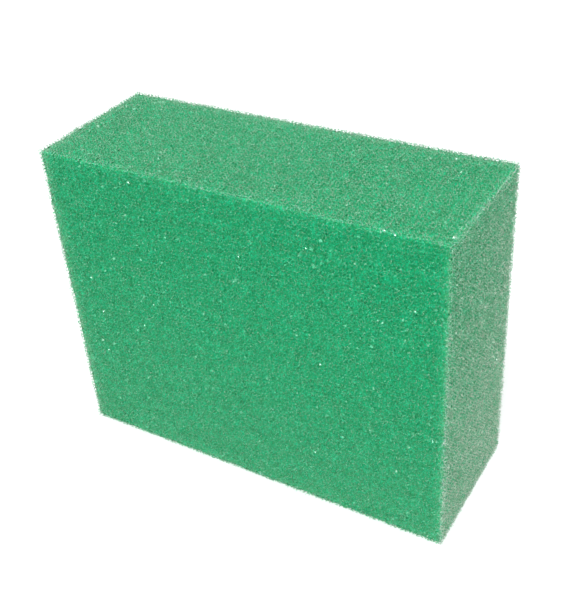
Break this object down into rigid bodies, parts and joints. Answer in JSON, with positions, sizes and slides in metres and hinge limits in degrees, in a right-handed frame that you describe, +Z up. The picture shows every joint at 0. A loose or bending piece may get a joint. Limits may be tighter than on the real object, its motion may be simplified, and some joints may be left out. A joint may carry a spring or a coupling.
{
  "type": "foam brick",
  "caption": "Rectangular brick of open-cell foam with square sawn faces, standing on a long narrow face.",
  "frame": {"origin": "centre of the bottom face that the brick stands on", "axes": "+X along the length, +Y through the thickness from the front to the back, +Z up"},
  "size_m": [0.23, 0.083, 0.182],
  "materials": {
    "foam": "matt open-cell foam"
  },
  "bodies": {
    "root": {"foam_block": "foam"}
  },
  "joints": []
}
